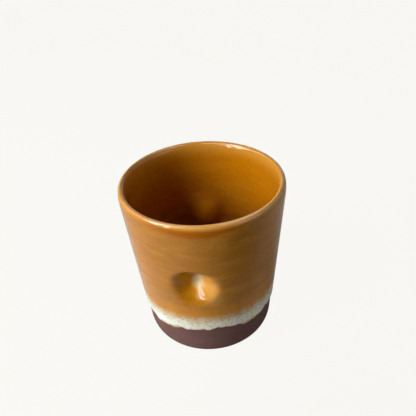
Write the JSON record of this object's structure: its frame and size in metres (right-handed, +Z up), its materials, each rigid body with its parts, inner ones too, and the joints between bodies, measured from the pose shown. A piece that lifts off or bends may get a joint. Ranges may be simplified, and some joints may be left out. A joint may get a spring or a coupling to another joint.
{
  "type": "cortado cup",
  "caption": "Small tapered stoneware cup without a handle, glazed inside and out, with thumb and finger dimples for grip and a bare clay foot.",
  "frame": {"origin": "centre of the foot, on the table", "axes": "+Z up along the turning axis, -Y towards the thumb dimple"},
  "size_m": [0.0654, 0.0654, 0.07],
  "materials": {
    "bare_clay": "matt, unglazed dark stoneware",
    "amber_glaze": "glossy amber glaze with faint turning rings",
    "amber_liner": "glossy deep amber glaze",
    "cream_glaze": "satin cream glaze with brown flecks"
  },
  "bodies": {
    "root": {"stoneware_body": "bare_clay", "amber_glaze_coat": "amber_glaze", "amber_glaze_liner": "amber_liner", "cream_glaze_band": "cream_glaze"}
  },
  "joints": []
}
